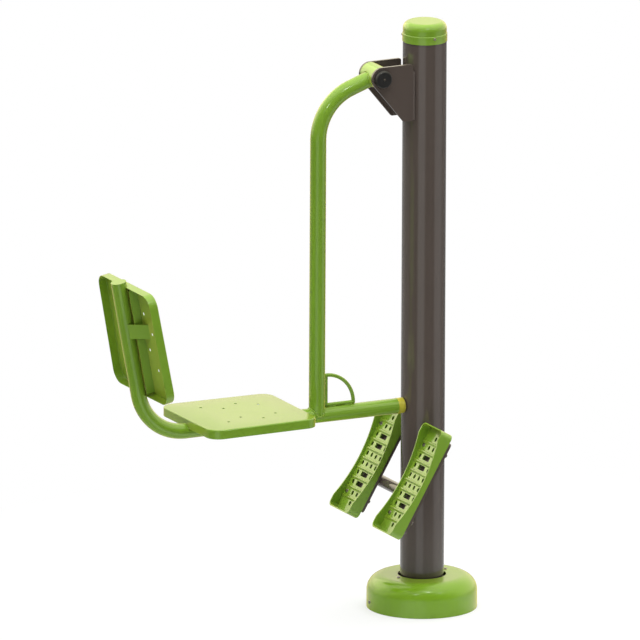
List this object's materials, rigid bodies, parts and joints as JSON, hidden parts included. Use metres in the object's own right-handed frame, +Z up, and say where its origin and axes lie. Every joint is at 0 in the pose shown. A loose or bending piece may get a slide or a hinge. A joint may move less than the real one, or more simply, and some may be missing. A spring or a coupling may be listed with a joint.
{
  "type": "outdoor leg press machine",
  "caption": "Outdoor leg press machine: a seat and backrest on a bent tube swing from a round post on a pivot, and two slotted foot pedals stand on a crossbar.",
  "frame": {"origin": "on the ground, on the post's axis", "axes": "+Z up along the post, +X from the seat to the post, +Y to the sitter's left hand when the sitter faces the post"},
  "size_m": [1.2962, 0.448, 1.932],
  "materials": {
    "post_paint": "gloss powder coat, dark brown grey",
    "green_paint": "gloss powder coat, lime green",
    "zinc": "zinc plated",
    "bearing_steel": "ground",
    "black_plastic": "satin moulded",
    "seal_rubber": "moulded",
    "cage_plastic": "moulded",
    "bumper_rubber": "moulded, yellow ochre"
  },
  "bodies": {
    "post_frame": {"base_plate": "post_paint", "base_ribs": "post_paint", "post_tube": "post_paint", "base_cover_near": "green_paint", "base_cover_far": "green_paint", "cover_top_screws": "zinc", "cover_side_screws": "zinc", "post_cap": "green_paint", "cap_screws": "zinc", "cheek_plate_near": "post_paint", "cheek_plate_far": "post_paint", "pivot_shaft": "bearing_steel", "shaft_washers": "zinc", "shaft_bolts": "zinc", "pivot_cover_near": "black_plastic", "pivot_cover_far": "black_plastic", "pivot_cover_screws": "zinc", "bearing_inner_rings": "bearing_steel", "bearing_inner_spacer": "bearing_steel", "bearing_end_spacers": "bearing_steel", "pedal_crossbar": "post_paint", "crossbar_plugs": "black_plastic", "pedal_mount_near": "post_paint", "pedal_mount_far": "post_paint", "foot_pedal_near": "green_paint", "foot_pedal_far": "green_paint", "pedal_bolts": "zinc", "pedal_washers": "zinc", "pedal_nuts": "zinc", "frame_welds": "post_paint"},
    "swing_seat": {"pivot_hub": "green_paint", "bearing_outer_rings": "bearing_steel", "bearing_balls": "bearing_steel", "bearing_cages": "cage_plastic", "bearing_shields": "seal_rubber", "swing_arm": "green_paint", "corner_brace": "green_paint", "seat_frame_tube": "green_paint", "frame_end_disc": "green_paint", "bumper": "bumper_rubber", "seat_pan": "green_paint", "seat_channel": "green_paint", "seat_strap": "green_paint", "back_pan": "green_paint", "back_channel": "green_paint", "back_strap": "green_paint"}
  },
  "joints": [
    {"name": "seat_swing", "type": "hinge", "parent": "post_frame", "child": "swing_seat", "pos_m": [-0.175, 0, 1.77], "axis": [0, 1, 0], "range_deg": [0, 35]}
  ]
}
